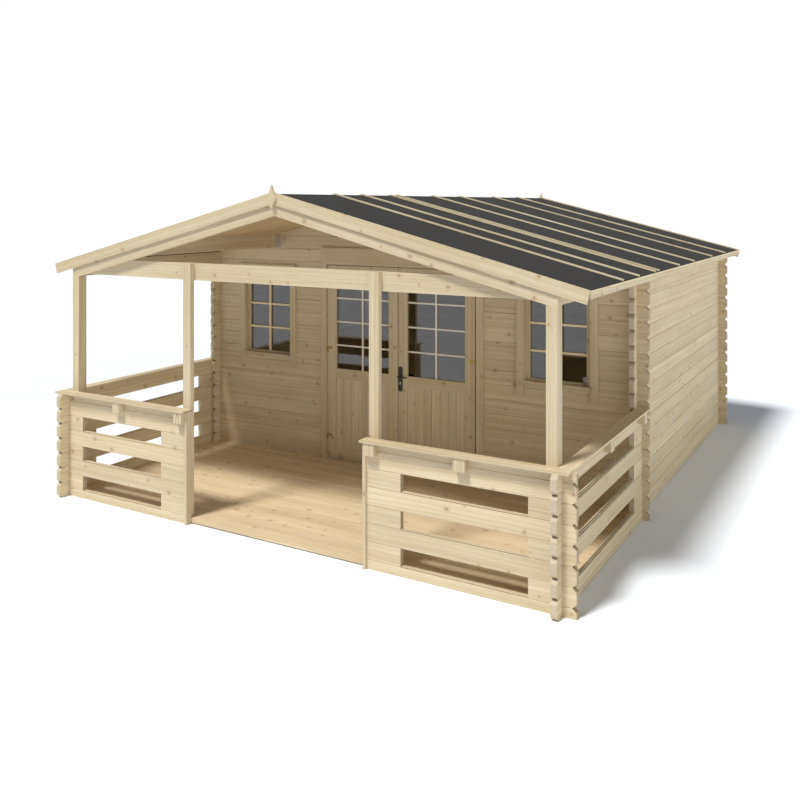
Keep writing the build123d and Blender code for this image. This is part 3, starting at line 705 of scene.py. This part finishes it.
# %% Roof boards
roof_pitch, roof_groove = 0.095, 0.004
fall = math.tan(roof_slope)
deck_upright = (deck_high.z - deck_low.z) - (deck_high.x - deck_low.x) * fall
deck_thick = deck_upright * math.cos(roof_slope)
ridge_under = deck_high.z - deck_upright
deck_run = (deck_high.x - deck_thick * math.sin(roof_slope)) / math.cos(roof_slope)
slope_turn = Matrix.Translation((0, 0, ridge_under)) @ Matrix.Rotation(roof_slope, 4, "Y")
# The tint browns the boards: a painted warm shade for their underside, which is seen only in shade.
spruce("roof_boarding", "down", "y", "off", roof_pitch, deck_low.y, tint=(0.97, 0.89, 0.74, 1))


def roof_boards():
    """Boards of one slope, laid flat: a grooved underside and a closed layer above it."""
    count = round((deck_high.y - deck_low.y) / roof_pitch)
    pitch = (deck_high.y - deck_low.y) / count
    slit = roof_groove / 2
    blocks = []
    for i in range(count):
        near, far = deck_low.y + i * pitch, deck_low.y + (i + 1) * pitch
        blocks.append(((0, near + slit, 0), (deck_run, far - slit, deck_thick / 2)))
        blocks.append(((0, near, deck_thick / 2), (deck_run, far, deck_thick)))
    return blocks


for side, sign in sides:
    mirror = Matrix.Diagonal((sign, 1, 1, 1))
    add_piece(side + "_boarding", soft_blocks(roof_boards(), board_edge), "roof_boarding", "root",
              stands_for=(side + "_roof_boards",), place=mirror @ slope_turn)

# %% [markdown]
# ## Glazing bars
# The panes are divided by slim bars: one upright and three level bars in each leaf, one upright and two
# level bars in each window. The bars lie on both sides of the glass. In the door they are thin and nearly
# flush; in the windows they are deeper, so they mirror themselves in the pane. Level bars stop at the
# upright one, as they do where a joiner halves them. Both sides of the shed are alike, so a helper makes
# the right piece and its mirrored twin.

# %% Glazing bars
bar_gap = 0.0003
door_bar_inset, door_bar_width, door_bar_edge = 0.006, 0.016, 0.001
window_bar_width, window_bar_depth, window_bar_back, window_bar_edge = 0.020, 0.020, 0.008, 0.0015
door_glass_low, door_glass_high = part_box("right_door_glass")
pane_low, pane_high = right_half("window_glass")
spruce("pale_bars", "z", "x", "y", tint=(1.46, 1.64, 2.25, 1))
spruce("window_bar_timber", "z", "x", "y", tint=(1.50, 1.52, 1.55, 1))


def glazing_bars(low, high, levels, front, back, width):
    """Bars in front of and behind one pane: an upright in the middle and some level bars."""
    middle = (low.x + high.x) / 2
    half = width / 2
    blocks = []
    for near, far in ((front, low.y - bar_gap), (high.y + bar_gap, back)):
        blocks.append(((middle - half, near, low.z), (middle + half, far, high.z)))
        for i in range(1, levels + 1):
            height = low.z + i * (high.z - low.z) / (levels + 1)
            for start, stop in ((low.x, middle - half), (middle + half, high.x)):
                blocks.append(((start, near, height - half), (stop, far, height + half)))
    return blocks


def add_pair(name, blocks, soften, finish, body="root"):
    """The same blocks as a piece on the right and, mirrored, as a piece on the left."""
    for side, sign in sides:
        placed = [tuple((sign * x, y, z) for x, y, z in block) for block in blocks]
        add_piece(side + "_" + name, soft_blocks(placed, soften), finish, body.replace("*", side))


door_bars = glazing_bars(door_glass_low, door_glass_high, 3, leaf_low.y + door_bar_inset,
                         leaf_high.y - door_bar_inset, door_bar_width)
window_bars = glazing_bars(pane_low, pane_high, 2, pane_low.y - window_bar_depth,
                           pane_high.y + window_bar_back, window_bar_width)
add_pair("door_bars", door_bars, door_bar_edge, "pale_bars", "*_door")
add_pair("window_bars", window_bars, window_bar_edge, "window_bar_timber")

# %% [markdown]
# ## Door panels
# The lower panels of the door are filled with narrow upright boards. The leaf has a shallow recess on both
# faces, and the boards lie in it with a hairline between them, on the outside and on the inside.

# %% Door panels
panel_boards, panel_recess, panel_edge = 7, 0.009, 0.0018
board_thick, board_gap = 0.006, 0.001
panel_pitch = (door_glass_high.x - door_glass_low.x) / panel_boards
spruce("panel_boarding", "z", "x", "y", panel_pitch, door_glass_low.x)


def door_panel_boards():
    """Upright boards in the recesses on both faces of the right leaf."""
    front, back = leaf_low.y + panel_recess, leaf_high.y - panel_recess
    blocks = []
    for i in range(panel_boards):
        start = door_glass_low.x + i * panel_pitch
        left, right = start + board_gap, start + panel_pitch - board_gap
        for floor, top in ((front, front - board_thick), (back, back + board_thick)):
            blocks.append(((left, floor, panel_bottom), (right, top, panel_top)))
    return blocks


add_pair("door_boards", door_panel_boards(), panel_edge, "panel_boarding", "*_door")

# %% [markdown]
# ## Tongues in the balustrade slots
# The balustrades are stacks of logs in which every second log is cut away. The logs are profiled with two
# tongues on top, and where the log above is missing, these two ridges lie bare along the lower edge of each
# slot. Beside them lie thin dark strips of painted shade, where the shadow lines between the ridges fall.

# %% Tongues in the balustrade slots
front_insets, side_insets = (0.289, 0.235), (0.320, 0.258)
tongue_width, tongue_height, tongue_edge = 0.010, 0.007, 0.0015
# Sizes of the thin dark strips of painted shade beside the tongues.
shade_line_width, shade_line_lift, shade_line_edge = 0.004, 0.0006, 0.0002
tongue_offsets, shade_line_offsets = (-0.009, 0.009), (-0.0165, 0.0, 0.0165)
slots_up = 3
lowest_slot = {"front": 0.5, "side": 1.0}
front_middle = front_face + log_thickness / 2
side_middle = panel_outer - log_thickness / 2
front_span = (panel_low.x + front_insets[0], panel_outer - front_insets[1])
side_span = (front_face + side_insets[0], cabin_face - side_insets[1])


def strips(part, offsets, width, height):
    """Strips along the lower edges of a panel's slots, beside the panel's middle line."""
    blocks = []
    for i in range(slots_up):
        z = log_height * (lowest_slot[part] + 2 * i)
        for offset in offsets:
            low, high = offset - width / 2, offset + width / 2
            if part == "front":
                first, second = (front_span[0], front_middle + low), (front_span[1], front_middle + high)
            else:
                first, second = (side_middle + low, side_span[0]), (side_middle + high, side_span[1])
            blocks.append(((*first, z), (*second, z + height)))
    return blocks


for part in lowest_slot:
    tongues = strips(part, tongue_offsets, tongue_width, tongue_height)
    add_pair(part + "_tongues", tongues, tongue_edge, "logs_along_" + part)
    # Dark strips of painted shade beside the tongues.
    add_pair(part + "_slot_gaps", strips(part, shade_line_offsets, shade_line_width, shade_line_lift), shade_line_edge, "gap_shade")

# %% [markdown]
# ## Marks at the log ends
# At every free log end the joint between two logs can be seen end-on: the tongues don't quite fill their
# grooves, and the shaded gaps are painted as two dark teeth over and under the joint. They are made as thin
# inlays of painted shade that lie on the two sloping faces of each notch.

# %% Shape of the marks
notch_depth, notch_half = 0.030, 0.028
tooth_offset, tooth_base, tooth_top = 0.0088, 0.0062, 0.0036
tooth_reach = {1: 0.42, -1: 0.16}
inlay_lift, inlay_sink = 0.0004, 0.0006
x_way, y_way, up = Vector((1, 0, 0)), Vector((0, 1, 0)), Vector((0, 0, 1))


def add_inlay(form, outline, normal):
    """A thin closed plate on a face, as an inlay."""
    upper = [form.verts.new(p + normal * inlay_lift) for p in outline]
    lower = [form.verts.new(p - normal * inlay_sink) for p in outline]
    form.faces.new(upper)
    form.faces.new(lower[::-1])
    for i in range(len(outline)):
        j = (i + 1) % len(outline)
        form.faces.new((upper[i], lower[i], lower[j], upper[j]))


def end_shade_teeth(form, tip, out, across, heights):
    """Two dark teeth of painted shade above and below each joint at one free end of a wall."""
    for height in heights:
        apex = tip - out * notch_depth + up * height
        for rise, reach in tooth_reach.items():
            slope = out * notch_depth + up * (rise * notch_half)
            normal = (out * notch_half - up * (rise * notch_depth)).normalized()
            for offset in (-tooth_offset, tooth_offset):
                root = apex + across * offset
                peak = root + slope * reach
                add_inlay(form, [root - across * tooth_base, root + across * tooth_base,
                                 peak + across * tooth_top, peak - across * tooth_top], normal)

# %% Marks at the log ends
wall_reach = half_width + log_end
end_limit = ridge_under - wall_reach * fall
half_log = log_thickness / 2
front_walls = ((front_face, panel_high.x, panel_high.z), (cabin_face, wall_reach, end_limit),
               (back_face - log_thickness, wall_reach, end_limit))


def joints_below(first, limit):
    """Heights of the joints between logs up to a limit."""
    return [first + i * log_height for i in range(int((limit - first - notch_half) / log_height) + 1)]


shade_marks = bmesh.new()
for side, sign in sides:
    for near, far_out, limit in front_walls:
        tip = Vector((sign * far_out, near + half_log, 0))
        end_shade_teeth(shade_marks, tip, x_way * sign, y_way, joints_below(log_height / 2, limit))
    wall_middle = sign * (half_width - half_log)
    for x, y, way, limit in ((wall_middle, wall_low.y, -y_way, end_limit),
                             (wall_middle, wall_high.y, y_way, end_limit),
                             (sign * side_middle, side_low.y, -y_way, side_high.z)):
        end_shade_teeth(shade_marks, Vector((x, y, 0)), way, x_way, joints_below(log_height, limit))
# Thin dark inlays of painted shade at the end of every log joint.
add_piece("log_end_shade_marks", shade_marks, "joint_shade", "root")

# %% [markdown]
# ## Painted shade over the eave beams
# The roof boards rest on the eave beams, but not tightly, and the joint lies in shade: a line of painted
# shade runs along the top of each beam's inner face. It is made as a thin dark strip just under the beam's
# upper edge.

# %% Painted shade over the eave beams
line_height, line_rise = 0.009, 0.0008
beam_low = right_half("eave_beams")[0]
beam_top = max(v.co.z for v in nodes["eave_beams"].data.vertices if abs(v.co.x - beam_low.x) < nearly)
beam_shade_line = ((beam_low.x - line_rise, beam_low.y, beam_top - line_height),
             (beam_low.x + line_rise, cabin_face, beam_top))
# A thin dark strip of painted shade under each beam's upper edge.
add_pair("eave_shade_line", [beam_shade_line], shade_line_edge, "gap_shade")

# %% [markdown]
# ## Key cylinder
# Under the lever the long plate carries a profile cylinder: a round barrel over a narrow tail, with a slit
# for the key. It is bright metal, so it shows as a pale spot on the black plate. It is drawn as one outline
# and given a little height above the plate.

# %% Key cylinder
barrel_radius, tail_half, tail_drop, arc_steps = 0.0085, 0.005, 0.0245, 20
key_height, cylinder_rise = 0.928, 0.003
slit_half, slit_length, slit_rise, slit_edge = 0.0012, 0.010, 0.0004, 0.0001
plate_low, plate_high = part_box("handle_plates")
plate_middle = (plate_low.x + plate_high.x) / 2


def cylinder_outline():
    """Points round the barrel and down its tail, seen from the front."""
    opening = math.asin(tail_half / barrel_radius)
    points = []
    for i in range(arc_steps + 1):
        angle = -math.pi / 2 + opening + i * (2 * math.pi - 2 * opening) / arc_steps
        points.append((barrel_radius * math.cos(angle), barrel_radius * math.sin(angle)))
    return points + [(-tail_half, -tail_drop + barrel_radius), (tail_half, -tail_drop + barrel_radius)]


def key_cylinder(form, face_y, outward):
    """One end of the cylinder, standing out from a plate's face."""
    outline = cylinder_outline()
    rings = []
    for rise in (-cylinder_rise / 3, cylinder_rise):
        y = face_y + outward * rise
        rings.append([form.verts.new((plate_middle + x, y, key_height + z)) for x, z in outline])
    form.faces.new(rings[0])
    form.faces.new(rings[1][::-1])
    for i in range(len(outline)):
        j = (i + 1) % len(outline)
        form.faces.new((rings[0][i], rings[0][j], rings[1][j], rings[1][i]))


barrel = bmesh.new()
slits = []
for face_y, outward in ((plate_low.y, -1), (plate_high.y, 1)):
    key_cylinder(barrel, face_y, outward)
    top = face_y + outward * cylinder_rise
    slits.append(((plate_middle - slit_half, top - outward * slit_rise, key_height - slit_length),
                  (plate_middle + slit_half, top + outward * slit_rise, key_height)))
add_piece("key_cylinder", barrel, "zinc", "right_door")
add_piece("key_slits", soft_blocks(slits, slit_edge), "lacquer", "right_door")
